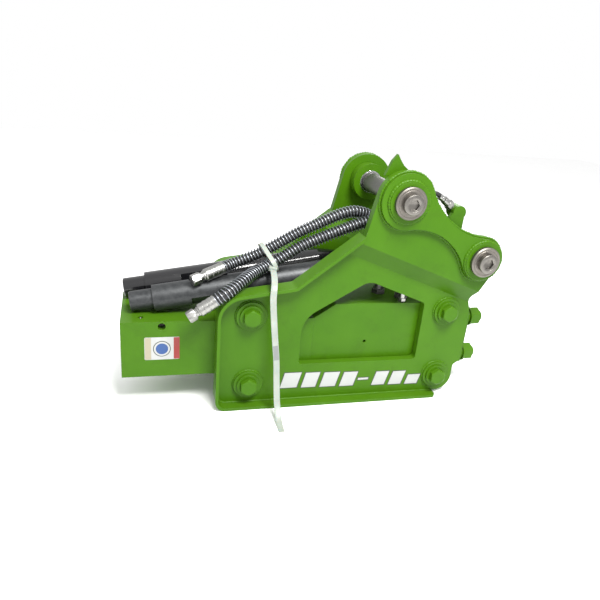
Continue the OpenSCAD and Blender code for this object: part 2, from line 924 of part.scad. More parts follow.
module tie_strap() {
    h = tie_t / 2;
    w = tie_w / 2;
    color("white") sweep(strap_route, [[-h, -w], [h, -w], [h, w], [-h, w]], [1, 0, 0]);
}

front_head();
tool_bush();
thrust_bush();
dust_seal();
tool_pins();
tool_pin_covers();
stop_pin();
stop_pin_plug();
grease_nipple();
cylinder_body();  // cylinder
piston();
seal_carrier();
piston_seals();
valve_spool();
valve_plug();
port_adapters();
back_head();
gas_valve();
tie_rods();
tie_rod_spacers();
tie_rod_washers();
tie_rod_nuts();
color("yellowgreen") side_plate_shape();  // near_side_plate
color("yellowgreen") mirror_far() side_plate_shape();  // far_side_plate
rim_shape();  // near_rim
mirror_far() rim_shape();  // far_rim
doubler_shape();  // near_doubler
mirror_far() doubler_shape();  // far_doubler
pin_boss_shapes();  // near_pin_bosses
mirror_far() pin_boss_shapes();  // far_pin_bosses
pin_bush_shapes();  // near_pin_bushes
mirror_far() pin_bush_shapes();  // far_pin_bushes
arm_pin(upper_eye);  // upper_pin
arm_pin(lower_eye);  // lower_pin
pin_washer(upper_eye);  // upper_pin_near_washer
pin_washer(lower_eye);  // lower_pin_near_washer
pin_screw(upper_eye);  // upper_pin_near_screw
pin_screw(lower_eye);  // lower_pin_near_screw
mirror_far() pin_washer(upper_eye);  // upper_pin_far_washer
mirror_far() pin_washer(lower_eye);  // lower_pin_far_washer
mirror_far() pin_screw(upper_eye);  // upper_pin_far_screw
mirror_far() pin_screw(lower_eye);  // lower_pin_far_screw
side_bolt_bosses();
side_bolts();
side_bolt_washers();
side_bolt_nuts();
plate_keys();
hose_lug();
lube_fittings();
lube_line();
near_chisel();
far_chisel();
color("black") sweep(port_route, ring_shape(hose_d), [0, 1, 0]);  // port_hose
color("silver") sleeve(port_route, guard_d, hose_d + 1);  // port_hose_guard
color("silver") hose_fittings(ports[0], port_route, port_tip);  // port_hose_fittings
color("black") sweep(return_route, ring_shape(hose_d), [0, 1, 0]);  // return_hose
color("silver") sleeve(return_route, guard_d, hose_d + 1);  // return_hose_guard
color("silver") hose_fittings(ports[1], return_route, return_tip);  // return_hose_fittings
tie_loop();
tie_strap();
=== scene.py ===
"""Looks for a hydraulic breaker hammer lying on the edges of its side plates: paint, steel, hoses, welds and marks."""

import json
import math

import bpy
from mathutils import Matrix, Vector, noise


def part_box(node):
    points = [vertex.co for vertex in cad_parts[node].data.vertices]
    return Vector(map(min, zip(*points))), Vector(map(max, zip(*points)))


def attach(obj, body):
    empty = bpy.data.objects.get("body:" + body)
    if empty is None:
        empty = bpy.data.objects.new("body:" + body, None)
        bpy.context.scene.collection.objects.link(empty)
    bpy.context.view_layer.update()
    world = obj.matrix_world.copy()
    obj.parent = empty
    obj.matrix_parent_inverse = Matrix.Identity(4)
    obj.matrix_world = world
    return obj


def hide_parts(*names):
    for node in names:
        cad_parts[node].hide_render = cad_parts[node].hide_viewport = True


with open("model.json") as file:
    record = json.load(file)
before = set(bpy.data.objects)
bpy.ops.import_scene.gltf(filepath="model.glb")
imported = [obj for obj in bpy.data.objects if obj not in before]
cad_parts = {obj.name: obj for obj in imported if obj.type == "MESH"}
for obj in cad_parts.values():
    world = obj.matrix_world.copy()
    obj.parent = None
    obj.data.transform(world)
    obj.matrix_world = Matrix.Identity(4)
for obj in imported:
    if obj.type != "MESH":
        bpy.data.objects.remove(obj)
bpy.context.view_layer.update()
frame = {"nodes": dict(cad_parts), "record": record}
MM = 0.001
ROOT = "hammer"
PLATE_FACE = 125 * MM


# ---------------------------------------------------------------- camera
def rotation_from_rows(right, down, forward):
    """A camera's world rotation from its right, down and forward directions."""
    columns = (Vector(right), -Vector(down), -Vector(forward))
    return Matrix([[c[i] for c in columns] for i in range(3)])


def make_camera():
    data = bpy.data.cameras.new("photo_camera")
    data.sensor_width = 36
    data.lens = 33
    data.clip_end = 50
    camera = bpy.data.objects.new("photo_camera", data)
    bpy.context.scene.collection.objects.link(camera)
    rows = rotation_from_rows((0.9664, -0.2428, 0.0840), (-0.0158, -0.3825, -0.9238), (0.2564, 0.8915, -0.3735))
    camera.matrix_world = Matrix.Translation((-0.419, -1.360, 0.814)) @ rows.to_4x4()
    bpy.context.scene.camera = camera


make_camera()


# ---------------------------------------------------------------- materials
class Shader:
    """A short way to write a node material."""

    def __init__(self, name):
        self.material = bpy.data.materials.new(name)
        self.material.use_nodes = True
        self.tree = self.material.node_tree
        self.bsdf = self.tree.nodes["Principled BSDF"]
        self.place = self.node("ShaderNodeTexCoord").outputs["Object"]

    def node(self, kind, **settings):
        made = self.tree.nodes.new(kind)
        for key, value in settings.items():
            setattr(made, key, value)
        return made

    def feed(self, socket, value):
        if hasattr(value, "is_linked"):
            self.tree.links.new(value, socket)
        else:
            socket.default_value = value

    def set(self, **values):
        for key, value in values.items():
            self.feed(self.bsdf.inputs[key.replace("_", " ")], value)

    def noise(self, scale, detail=4.0, roughness=0.55, stretch=(1, 1, 1), distortion=0.0):
        mapping = self.node("ShaderNodeMapping")
        mapping.inputs["Scale"].default_value = stretch
        self.feed(mapping.inputs["Vector"], self.place)
        made = self.node("ShaderNodeTexNoise")
        made.inputs["Scale"].default_value = scale
        made.inputs["Detail"].default_value = detail
        made.inputs["Roughness"].default_value = roughness
        made.inputs["Distortion"].default_value = distortion
        self.feed(made.inputs["Vector"], mapping.outputs["Vector"])
        return made.outputs["Fac"]

    def ramp(self, value, low, high, start=0.0, end=1.0):
        """value from low to high becomes start to end."""
        made = self.node("ShaderNodeMapRange")
        for key, number in (("From Min", low), ("From Max", high), ("To Min", start), ("To Max", end)):
            made.inputs[key].default_value = number
        self.feed(made.inputs["Value"], value)
        return made.outputs["Result"]

    def math(self, operation, a, b=0.5, clamp=False):
        made = self.node("ShaderNodeMath", operation=operation, use_clamp=clamp)
        self.feed(made.inputs[0], a)
        self.feed(made.inputs[1], b)
        return made.outputs[0]

    def mix(self, amount, a, b):
        made = self.node("ShaderNodeMix", data_type="RGBA")
        self.feed(made.inputs["Factor"], amount)
        self.feed(made.inputs["A"], a if hasattr(a, "is_linked") else (*a, 1))
        self.feed(made.inputs["B"], b if hasattr(b, "is_linked") else (*b, 1))
        return made.outputs["Result"]

    def rounded(self, radius):
        made = self.node("ShaderNodeBevel", samples=4)
        made.inputs["Radius"].default_value = radius
        return made.outputs["Normal"]

    def edge(self, radius, low, high):
        """1 near sharp edges and 0 elsewhere."""
        dot = self.node("ShaderNodeVectorMath", operation="DOT_PRODUCT")
        self.feed(dot.inputs[0], self.rounded(radius))
        self.feed(dot.inputs[1], self.node("ShaderNodeNewGeometry").outputs["True Normal"])
        return self.ramp(dot.outputs["Value"], high, low)

    def facing_up(self, low=0.2, high=0.95):
        split = self.node("ShaderNodeSeparateXYZ")
        self.feed(split.inputs[0], self.node("ShaderNodeNewGeometry").outputs["True Normal"])
        return self.ramp(split.outputs["Z"], low, high)

    def bump(self, height, distance, normal=None, strength=1.0):
        made = self.node("ShaderNodeBump")
        made.inputs["Strength"].default_value = strength
        made.inputs["Distance"].default_value = distance
        self.feed(made.inputs["Height"], height)
        if normal is not None:
            self.feed(made.inputs["Normal"], normal)
        return made.outputs["Normal"]


def green_enamel(name, wear=1.0, dust=0.35):
    s = Shader(name)
    clouds = s.noise(6, 5)
    orange_peel = s.noise(420, 2)
    specks = s.noise(900, 3, 0.7)
    body = s.mix(s.ramp(clouds, 0.35, 0.65), (0.036, 0.112, 0.001), (0.044, 0.128, 0.002))
    grime_patch = s.ramp(s.noise(14, 8, 0.7, distortion=0.6), 0.52, 0.72)
    dirty = s.mix(s.math("MULTIPLY", grime_patch, 0.25), body, (0.020, 0.042, 0.003))
    # Upward faces take a lighter green: settled dust in noise patches, and painted top light at least a fifth of the
    # way over all of them
    dust_and_top_light = s.math("MULTIPLY", s.facing_up(), s.ramp(s.noise(30, 8, 0.75), 0.35, 0.7, 0.2, dust))
    dusted_and_top_lit = s.mix(dust_and_top_light, dirty, (0.066, 0.145, 0.012))
    chip_noise = s.ramp(s.noise(160, 6, 0.75), 0.55, 0.62)
    chips = s.math("MULTIPLY", s.edge(0.0014, 0.80, 0.93), s.math("MULTIPLY", chip_noise, wear), clamp=True)
    worn = s.mix(chips, dusted_and_top_lit, (0.10, 0.085, 0.070))
    s.set(Base_Color=worn, Roughness=s.ramp(specks, 0.3, 0.7, 0.30, 0.44), Metallic=0.0)
    s.set(Coat_Weight=0.03, Coat_Roughness=0.20, Specular_IOR_Level=0.14)
    s.set(Normal=s.bump(orange_peel, 0.00012, s.bump(s.noise(18, 4), 0.0010, s.rounded(0.0016), 0.5)))
    return s.material


def bare_steel(name, colour, roughness=0.34, grain=(1, 1, 1), stain=0.4, edge=0.0010):
    s = Shader(name)
    lines = s.noise(260, 3, stretch=grain)
    blotch = s.ramp(s.noise(22, 7, 0.7), 0.45, 0.75)
    darker = tuple(c * 0.45 for c in colour)
    base = s.mix(s.math("MULTIPLY", blotch, stain), colour, darker)
    lighter = tuple(min(1, c * 1.7 + 0.05) for c in colour)
    base = s.mix(s.math("MULTIPLY", s.edge(edge, 0.75, 0.95), 0.6), base, lighter)
    wear = s.ramp(blotch, 0, 1, roughness, roughness + 0.14)
    s.set(Base_Color=base, Metallic=1.0, Roughness=s.math("ADD", s.ramp(lines, 0.3, 0.7, -0.08, 0.08), wear))
    s.set(Normal=s.bump(lines, 0.00006, s.rounded(edge)))
    return s.material


def rubber(name, colour=(0.010, 0.010, 0.011), roughness=0.52):
    s = Shader(name)
    dust = s.ramp(s.noise(40, 8, 0.7), 0.5, 0.8, 0, 0.35)
    s.set(Base_Color=s.mix(dust, colour, (0.05, 0.048, 0.042)), Roughness=roughness)
    s.set(Normal=s.bump(s.noise(600, 3), 0.0001))
    return s.material


def coated_black(name):
    s = Shader(name)
    wave = s.noise(26, 5, 0.6)
    scuff = s.ramp(s.noise(70, 8, 0.75, stretch=(0.3, 1, 1)), 0.60, 0.72)
    base = s.mix(s.math("MULTIPLY", scuff, 0.5), (0.006, 0.006, 0.007), (0.035, 0.034, 0.032))
    s.set(Base_Color=base, Roughness=s.ramp(scuff, 0, 1, 0.16, 0.42), Coat_Weight=0.4, Coat_Roughness=0.12)
    s.set(Normal=s.bump(wave, 0.0008, s.rounded(0.0012), 0.6))
    return s.material


def forged_grey(name):
    s = Shader(name)
    scale = s.noise(85, 7, 0.7)
    lathe = s.noise(500, 2, stretch=(1, 0.02, 0.02))
    base = s.mix(s.ramp(scale, 0.35, 0.7), (0.026, 0.028, 0.030), (0.052, 0.055, 0.057))
    base = s.mix(s.math("MULTIPLY", s.edge(0.0012, 0.7, 0.95), 0.55), base, (0.22, 0.22, 0.22))
    s.set(Base_Color=base, Metallic=0.55, Roughness=s.ramp(scale, 0.3, 0.7, 0.36, 0.52))
    s.set(Normal=s.bump(lathe, 0.00008, s.bump(scale, 0.0003, s.rounded(0.0014))))
    return s.material


def nylon(name):
    s = Shader(name)
    tint = s.mix(s.ramp(s.noise(30, 5), 0.3, 0.7), (0.23, 0.26, 0.23), (0.29, 0.32, 0.285))
    s.set(Base_Color=tint, Roughness=0.38, Subsurface_Weight=0.15, Subsurface_Scale=0.002)
    s.set(Normal=s.bump(s.noise(900, 2), 0.00004))
    return s.material


def sticker(name, colour, roughness=0.35):
    s = Shader(name)
    fade = tuple(min(1, c * 0.82 + 0.03) for c in colour)
    s.set(Base_Color=s.mix(s.ramp(s.noise(60, 6), 0.45, 0.75, 0, 0.5), colour, fade), Roughness=roughness)
    s.set(Normal=s.bump(s.noise(350, 3), 0.00005))
    return s.material


GREEN = green_enamel("green_enamel")
WELD = green_enamel("painted_weld", wear=0.2, dust=0.25)
GROUND = bare_steel("ground_steel", (0.55, 0.55, 0.56), 0.22, stain=0.15)
DARK = bare_steel("dark_steel", (0.17, 0.165, 0.16), 0.42)
TURNED = bare_steel("turned_steel", (0.20, 0.185, 0.165), 0.42, stain=0.55)
SOCKET = bare_steel("socket_steel", (0.19, 0.18, 0.165), 0.38, stain=0.5)
ZINC = bare_steel("zinc_plate", (0.36, 0.36, 0.345), 0.30, stain=0.4, edge=0.0006)
WIRE = bare_steel("spring_wire", (0.30, 0.32, 0.345), 0.32, stain=0.5, edge=0.0003)
BRASS = bare_steel("turned_brass", (0.62, 0.42, 0.14), 0.28, stain=0.3)
HOSE = rubber("hose_cover")
SEAL = rubber("seal_rubber", (0.014, 0.014, 0.015), 0.45)
GREY_FORGING = forged_grey("grey_forging")
BLACK_COAT = coated_black("black_coating")
NYLON = nylon("white_nylon")
WHITE_MARK = sticker("white_vinyl", (0.35, 0.36, 0.355))
DARK_PRINT_AND_SHADOW = sticker("dark_vinyl_and_painted_shadow", (0.020, 0.030, 0.016))
RED_MARK = sticker("red_vinyl", (0.21, 0.010, 0.007))
BLUE_MARK = sticker("blue_vinyl", (0.012, 0.055, 0.19))
PAINTED_TIE_SHADE = sticker("painted_tie_shade", (0.16, 0.17, 0.17))
SAND_MARK = sticker("sand_vinyl", (0.28, 0.255, 0.18))

SLOT_MATERIAL = {
    "green_paint": GREEN, "ground_steel": GROUND, "dark_steel": DARK, "pin_steel": TURNED,
    "zinc_plate": ZINC, "guard_wire": WIRE, "hose_rubber": HOSE, "seal_rubber": SEAL, "brass": BRASS,
    "chisel_grey": GREY_FORGING, "chisel_black": BLACK_COAT, "tie_plastic": NYLON,
}


def dress_cad_nodes():
    """Every node that stays visible takes the full material of its slot, except the grease nipple, which takes dark
    steel as painted shade.
    """
    for row in frame["record"]["subparts"]:
        node = frame["nodes"][row["node"]]
        node.data.materials.clear()
        node.data.materials.append(SLOT_MATERIAL[row["material_slot"]])
        # Painted shade: the grease nipple is drawn in dark steel so that it reads as a dark spot
        if row["node"] == "grease_nipple":
            node.data.materials[0] = DARK


dress_cad_nodes()


# ---------------------------------------------------------------- mesh helpers
def add_mesh(name, points, faces, material, body=ROOT, smooth=True, sharp_deg=35):
    mesh = bpy.data.meshes.new(name)
    mesh.from_pydata([tuple(p) for p in points], [], faces)
    mesh.validate()
    mesh.materials.append(material)
    piece = bpy.data.objects.new(name, mesh)
    bpy.context.scene.collection.objects.link(piece)
    if smooth:
        mesh.polygons.foreach_set("use_smooth", [True] * len(mesh.polygons))
        mesh.set_sharp_from_angle(angle=math.radians(sharp_deg))
    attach(piece, body)
    return piece


def frames_along(path, closed=False):
    """(point, side, up) at each point of a path, turning as little as possible."""
    n = len(path)
    tangents = []
    for i in range(n):
        before = path[i - 1] if closed or i else path[0]
        after = path[(i + 1) % n] if closed or i < n - 1 else path[-1]
        tangents.append((after - before).normalized())
    side = tangents[0].orthogonal().normalized()
    out = []
    for point, tangent in zip(path, tangents):
        side = (side - tangent * side.dot(tangent)).normalized()
        out.append((point, side, tangent.cross(side)))
    return out


def tube_mesh(path, radius, sides=16, closed=False):
    """Points and faces of a tube; radius is a number or a function of the ring's index."""
    rings = frames_along(path, closed)
    points, faces = [], []
    for i, (centre, side, up) in enumerate(rings):
        r = radius(i) if callable(radius) else radius
        for k in range(sides):
            a = 2 * math.pi * k / sides
            points.append(centre + side * (r * math.cos(a)) + up * (r * math.sin(a)))
    n = len(rings)
    for i in range(n if closed else n - 1):
        j = (i + 1) % n
        for k in range(sides):
            l = (k + 1) % sides
            faces.append((i * sides + k, i * sides + l, j * sides + l, j * sides + k))
    if not closed:
        faces.append(tuple(range(sides - 1, -1, -1)))
        faces.append(tuple((n - 1) * sides + k for k in range(sides)))
    return points, faces


def smooth_route(points, step):
    """A Catmull-Rom curve through the points, cut at about equal steps."""
    pts = [Vector(p) for p in points]
    padded = [2 * pts[0] - pts[1], *pts, 2 * pts[-1] - pts[-2]]
    fine = []
    for a, b, c, d in zip(padded, padded[1:], padded[2:], padded[3:]):
        for i in range(24):
            t = i / 24
            fine.append(0.5 * ((2 * b) + (c - a) * t + (2 * a - 5 * b + 4 * c - d) * t * t
                               + (3 * b - a - 3 * c + d) * t ** 3))
    fine.append(pts[-1])
    total = sum((q - p).length for p, q in zip(fine, fine[1:]))
    count = max(2, round(total / step))
    out, travelled, index = [fine[0]], 0.0, 0
    for i in range(1, count):
        target = total * i / count
        while travelled + (fine[index + 1] - fine[index]).length < target:
            travelled += (fine[index + 1] - fine[index]).length
            index += 1
        part = fine[index + 1] - fine[index]
        out.append(fine[index] + part * ((target - travelled) / part.length))
    out.append(fine[-1])
    return out, total


def lathe(name, profile, start, direction, material, body=ROOT, slot=None, turns=48, sharp_deg=30):
    """Turns (distance, radius) rings round an axis. A third number cuts a ring to that width across flats."""
    direction = Vector(direction).normalized()
    side = Vector((1, 0, 0)) if abs(direction.x) < 0.5 else Vector((0, 1, 0))
    side = (side - direction * side.dot(direction)).normalized()
    up = direction.cross(side)
    points, faces = [], []
    for distance, radius, *flats in profile:
        for k in range(turns):
            a = 2 * math.pi * k / turns
            r = radius
            if flats:
                off = (math.degrees(a) % 60) - 30
                r = min(radius, flats[0] / 2 / math.cos(math.radians(off)))
            points.append(Vector(start) + direction * distance + side * (r * math.cos(a)) + up * (r * math.sin(a)))
    for i in range(len(profile) - 1):
        for k in range(turns):
            l = (k + 1) % turns
            faces.append((i * turns + k, i * turns + l, (i + 1) * turns + l, (i + 1) * turns + k))
    faces.append(tuple(range(turns - 1, -1, -1)))
    faces.append(tuple((len(profile) - 1) * turns + k for k in range(turns)))
    return add_mesh(name, points, faces, material, body, sharp_deg=sharp_deg)


def swept(name, path, section, facing, material):
    """Carries a section of (across, outward) points along a path; outward keeps closest to `facing`."""
    points, faces = [], []
    n, m = len(path), len(section)
    for i, centre in enumerate(path):
        along = (path[min(i + 1, n - 1)] - path[max(i - 1, 0)]).normalized()
        across = along.cross(Vector(facing)).normalized()
        out = across.cross(along)
        points += [centre + across * a + out * b for a, b in section]
    for i in range(n - 1):
        for k in range(m):
            l = (k + 1) % m
            faces.append((i * m + k, i * m + l, (i + 1) * m + l, (i + 1) * m + k))
    faces.append(tuple(range(m - 1, -1, -1)))
    faces.append(tuple((n - 1) * m + k for k in range(m)))
    return add_mesh(name, points, faces, material)


def bead(name, path, radius, seed, closed=False):
    """A weld bead: small overlapping ripples, thicker here and thinner there."""
    def ripple(i):
        swell = noise.noise(path[i] * 90 + Vector((seed, 0, 0)))
        return radius * (1 + 0.20 * math.sin(i * 2.1) + 0.34 * swell)
    points, faces = tube_mesh(path, ripple, 8, closed)
    return add_mesh(name, points, faces, WELD, sharp_deg=80)


def arc(centre, radius, start, end, y, step=0.0025):
    """Points from angle start to angle end, in degrees, in the plane at depth y."""
    count = max(2, round(abs(math.radians(end - start)) * radius / step))
    angles = [math.radians(start + (end - start) * i / count) for i in range(count + 1)]
    return [Vector((centre[0] + radius * math.cos(a), y, centre[1] + radius * math.sin(a))) for a in angles]


def rounded_line(corners, radii, y, step=0.0025):
    """A line through (x, z) corners, each rounded to its radius, at about equal steps."""
    flat = [Vector(c) for c in corners]
    path = [flat[0]]
    for before, at, after, r in zip(flat, flat[1:], flat[2:], radii):
        u, w = (at - before).normalized(), (after - at).normalized()
        turn = math.atan2(u.x * w.y - u.y * w.x, u.dot(w))
        cut = r * math.tan(abs(turn) / 2)
        left = Vector((-u.y, u.x)) * math.copysign(1, turn)
        centre = at - u * cut + left * r
        first = math.atan2(-left.y, -left.x)
        angles = [first + turn * i / 12 for i in range(13)]
        path += [centre + r * Vector((math.cos(a), math.sin(a))) for a in angles]
    path.append(flat[-1])
    out = []
    for p, q in zip(path, path[1:]):
        count = max(1, round((q - p).length / step))
        out += [p.lerp(q, i / count) for i in range(count)]
    out.append(path[-1])
    return [Vector((p.x, y, p.y)) for p in out]


def touching_circle(a, ra, b, rb, r):
    """Centre of the circle of radius r that touches circles a and b from outside, left of a to b."""
    a, b = Vector(a), Vector(b)
    d = (b - a).length
    u = (b - a) / d
    along = ((ra + r) ** 2 - (rb + r) ** 2 + d * d) / (2 * d)
    return a + along * u + math.sqrt((ra + r) ** 2 - along ** 2) * Vector((-u.y, u.x))


# ---------------------------------------------------------------- hoses
PRESSURE_ROUTE = [
    (0.245, -0.058, 0.372), (0.245, -0.058, 0.392), (0.241, -0.058, 0.411), (0.23, -0.058, 0.435),
    (0.212, -0.058, 0.457), (0.188, -0.058, 0.474), (0.162, -0.057, 0.483), (0.138, -0.056, 0.485),
    (0.1, -0.054, 0.478), (0.048, -0.052, 0.458), (-0.004, -0.05, 0.436), (-0.055, -0.05, 0.412),
    (-0.097, -0.052, 0.386), (-0.135, -0.057, 0.366), (-0.172, -0.076, 0.354), (-0.212, -0.116, 0.343),
    (-0.251, -0.145, 0.325), (-0.278, -0.15, 0.309)]
PRESSURE_TIP = (-0.3428, -0.162, 0.2706)
RETURN_ROUTE = [
    (0.192, -0.02, 0.372), (0.192, -0.02, 0.4), (0.189, -0.02, 0.425), (0.178, -0.02, 0.451),
    (0.16, -0.02, 0.473), (0.136, -0.02, 0.491), (0.112, -0.02, 0.499), (0.086, -0.021, 0.501),
    (0.051, -0.022, 0.492), (0.0, -0.023, 0.469), (-0.052, -0.024, 0.445), (-0.092, -0.024, 0.422),
    (-0.133, -0.024, 0.398), (-0.172, -0.023, 0.378), (-0.22, -0.024, 0.359), (-0.247, -0.034, 0.351)]
RETURN_TIP = (-0.328, -0.064, 0.327)
LUBE_ROUTE = [
    (0.295, -0.108, 0.559), (0.283, -0.108, 0.568), (0.269, -0.108, 0.574), (0.254, -0.107, 0.573),
    (0.243, -0.105, 0.56), (0.237, -0.101, 0.54), (0.235, -0.096, 0.505), (0.235, -0.09, 0.46),
    (0.236, -0.087, 0.4), (0.236, -0.086, 0.35), (0.236, -0.086, 0.296)]
STRAP_ROUTE = [
    (-0.129, -0.08, 0.364), (-0.132, -0.112, 0.36), (-0.136, -0.142, 0.351), (-0.14, -0.159, 0.336),
    (-0.141, -0.164, 0.31), (-0.136, -0.164, 0.26), (-0.129, -0.164, 0.2), (-0.123, -0.166, 0.15),
    (-0.12, -0.172, 0.095), (-0.119, -0.186, 0.048), (-0.119, -0.21, 0.017), (-0.119, -0.238, 0.003),
    (-0.119, -0.262, 0.0015)]
ADAPTER_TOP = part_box("port_adapters")[1].z
HOSE_D = 25 * MM
GUARD_D = 34 * MM
LUBE_D = 12 * MM


def hose(name, route, diameter, cad_node):
    """A round rubber hose along a route, drawn as a bevelled curve in place of its part."""
    line, length = smooth_route(route, diameter * 0.35)
    curve = bpy.data.curves.new(name, "CURVE")
    curve.dimensions = "3D"
    curve.bevel_depth = diameter / 2
    curve.bevel_resolution = 5
    curve.use_fill_caps = True
    spline = curve.splines.new("POLY")
    spline.points.add(len(line) - 1)
    for point, place in zip(spline.points, line):
        point.co = (*place, 1)
    spline.use_smooth = True
    curve.materials.append(HOSE)
    piece = bpy.data.objects.new(name, curve)
    bpy.context.scene.collection.objects.link(piece)
    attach(piece, ROOT)
    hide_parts(cad_node)


def spring_guard(name, route, cad_node):
    """A wire wound closely round the whole hose."""
    pitch, wire = 8.5 * MM, 2.8 * MM
    line, length = smooth_route(route, 4 * MM)
    rings = frames_along(line)
    turns = length / pitch
    steps = int(turns * 16)
    coil_r = GUARD_D / 2 - wire / 2
    path = []
    for i in range(steps + 1):
        along = i / steps * (len(rings) - 1)
        k = min(int(along), len(rings) - 2)
        t = along - k
        (c0, s0, u0), (c1, s1, u1) = rings[k], rings[k + 1]
        centre, side, up = c0.lerp(c1, t), s0.lerp(s1, t).normalized(), u0.lerp(u1, t).normalized()
        a = 2 * math.pi * turns * i / steps
        path.append(centre + side * (coil_r * math.cos(a)) + up * (coil_r * math.sin(a)))
    points, faces = tube_mesh(path, wire / 2, 8)
    piece = add_mesh(name, points, faces, WIRE, sharp_deg=80)
    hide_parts(cad_node)
    return piece


def crimped_fitting(name, at, to, across_corners, cad_node=None):
    """A swivel nut at `at`, a collar and a crimped ferrule that ends at `to`, on the hose."""
    a, b = Vector(at), Vector(to)
    length = (b - a).length
    r = across_corners / 2
    flats = across_corners * math.cos(math.pi / 6)
    nut_end = 0.27 * length
    nut = lathe(name + "_nut", [(0, 0.45 * r), (0, 0.86 * r), (0.03 * length, r, flats),
                                (nut_end - 0.03 * length, r, flats), (nut_end, 0.86 * r)],
                a, b - a, ZINC, slot="zinc_plate", turns=72)
    shell = [(nut_end, 10.5 * MM), (0.34 * length, 10.5 * MM), (0.36 * length, 12.5 * MM), (0.40 * length, 12.5 * MM),
             (0.415 * length, 15 * MM), (0.43 * length, 16 * MM)]
    for ring in (0.56, 0.72, 0.88):
        shell += [(ring * length, 16 * MM), (ring * length + 0.0006, 15.3 * MM), (ring * length + 0.0024, 15.3 * MM),
                  (ring * length + 0.0030, 16 * MM)]
    shell += [(0.985 * length, 16 * MM), (length, 15 * MM)]
    ferrule = lathe(name + "_ferrule", shell, a, b - a, ZINC, slot="zinc_plate")
    if cad_node:
        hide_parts(cad_node)
    return [nut, ferrule]


def make_hoses():
    """Pressure and return hose, each with a spring guard and a crimped fitting at both ends."""
    sets = {"pressure": (PRESSURE_ROUTE, PRESSURE_TIP, "port_hose"),
            "return": (RETURN_ROUTE, RETURN_TIP, "return_hose")}
    for name, (route, tip, node) in sets.items():
        port = (*route[0][:2], ADAPTER_TOP)
        pieces = crimped_fitting(name + "_port_end", port, route[0], 36 * MM, node + "_fittings")
        pieces += crimped_fitting(name + "_free_end", tip, route[-1], 30 * MM)
        pieces.append(spring_guard(name + "_spring_guard", route, node + "_guard"))
        hose(name + "_line_hose", route, HOSE_D, node)


make_hoses()


# ---------------------------------------------------------------- grease line
def lube_hose():
    """The thin hose from the lug inside the near ear down to the block, with a crimped sleeve at each end."""
    for end, (tip, inner) in {"top": (LUBE_ROUTE[0], LUBE_ROUTE[2]), "low": (LUBE_ROUTE[-1], LUBE_ROUTE[-2])}.items():
        a = Vector(tip)
        toward = (Vector(inner) - a).normalized()
        lathe("lube_sleeve_" + end, [
            (0, 6.2 * MM), (0.001, 8 * MM), (0.007, 8 * MM), (0.0076, 7.2 * MM), (0.0092, 7.2 * MM),
            (0.0098, 8 * MM), (0.016, 8 * MM), (0.017, 6.2 * MM)], a, toward, ZINC, slot="zinc_plate", turns=32)
    hose("lube_line_hose", LUBE_ROUTE, LUBE_D, "lube_line")


lube_hose()


# ---------------------------------------------------------------- cable tie
def cable_tie():
    """A wide white tie round both hoses; its long tail hangs over the rim and lies out on the floor."""
    line, length = smooth_route(STRAP_ROUTE, 5 * MM)
    w, t = 8 * MM, 0.9 * MM
    band = [(-w, -t * 0.4), (-w * 0.93, -t), (w * 0.93, -t), (w, -t * 0.4), (w, t * 0.4), (w * 0.93, t),
            (w * 0.86, t * 0.75), (-w * 0.86, t * 0.75), (-w * 0.93, t), (-w, t * 0.4)]
    facing = (0, -1, 0.35)
    tail = swept("tie_tail", line, band, facing, NYLON)
    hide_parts("tie_strap")
    start, along = line[0], (line[1] - line[0]).normalized()
    across = along.cross(Vector(facing)).normalized()
    out = across.cross(along)
    box = []
    for d, grow in ((-14, 0.86), (-12.5, 1), (6, 1), (8, 0.86)):
        box += [start + along * d * MM + across * a * grow * 10.5 * MM + out * b * grow * 4.5 * MM
                for a, b in ((-1, -1), (1, -1), (1, 1), (-1, 1))]
    faces = [(0, 3, 2, 1), (12, 13, 14, 15)]
    faces += [(4 * i + k, 4 * i + (k + 1) % 4, 4 * i + 4 + (k + 1) % 4, 4 * i + 4 + k)
              for i in range(3) for k in range(4)]
    head = add_mesh("tie_head", box, faces, NYLON)
    # Painted shade: a thin grey film makes one stretch of the hanging tail darker
    shaded_stretch = [p for p in line if 0.150 < p.z < 0.192 and p.y > -0.17]
    half = w * 0.8
    shade_section = [(-half, t * 0.8), (half, t * 0.8), (half, t * 1.1), (-half, t * 1.1)]
    shade_film = swept("tie_painted_shade", shaded_stretch, shade_section, facing, PAINTED_TIE_SHADE)


cable_tie()


# ---------------------------------------------------------------- arm pin hardware
def pin_hardware():
    """Turned washers and socket screws at both ends of both arm pins."""
    for eye in ("upper", "lower"):
        for side, sign in (("near", -1), ("far", 1)):
            washer, screw = f"{eye}_pin_{side}_washer", f"{eye}_pin_{side}_screw"
            low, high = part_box(washer)
            thick, radius = high.y - low.y, (high.x - low.x) / 2
            centre = Vector(((low.x + high.x) / 2, low.y if sign > 0 else high.y, (low.z + high.z) / 2))
            head_r, af = 25 * MM, 24 * MM
            head_h = (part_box(screw)[1].y - high.y) if sign > 0 else (low.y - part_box(screw)[0].y)
            top = thick + head_h
            body = f"{eye}_arm_pin" if side == "near" else f"{eye}_far_cap"
            turned = lathe(washer + "_turned", [
                (0, radius - 0.0015), (0.0012, radius), (thick - 0.0024, radius), (thick, radius - 0.0024),
                (thick, radius - 0.0062), (thick - 0.0006, radius - 0.0068), (thick - 0.0006, radius - 0.0078),
                (thick, radius - 0.0084), (thick, head_r * 0.5)],
                centre, (0, sign, 0), TURNED, body, "pin_steel", turns=96)
            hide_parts(washer)
            cap = lathe(screw + "_turned", [
                (thick, head_r - 0.001), (thick + 0.0008, head_r), (top - 0.0022, head_r),
                (top - 0.0006, head_r - 0.0012), (top, head_r - 0.0030), (top, 0.0172),
                (top - 0.0007, 0.0168), (top - 0.0007, 0.0156), (top - 0.0020, 0.0150, af),
                (top - 0.0100, 0.0150, af), (top - 0.0120, 0.0030)],
                centre, (0, sign, 0), SOCKET, body, "pin_steel", turns=96)
            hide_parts(screw)


pin_hardware()


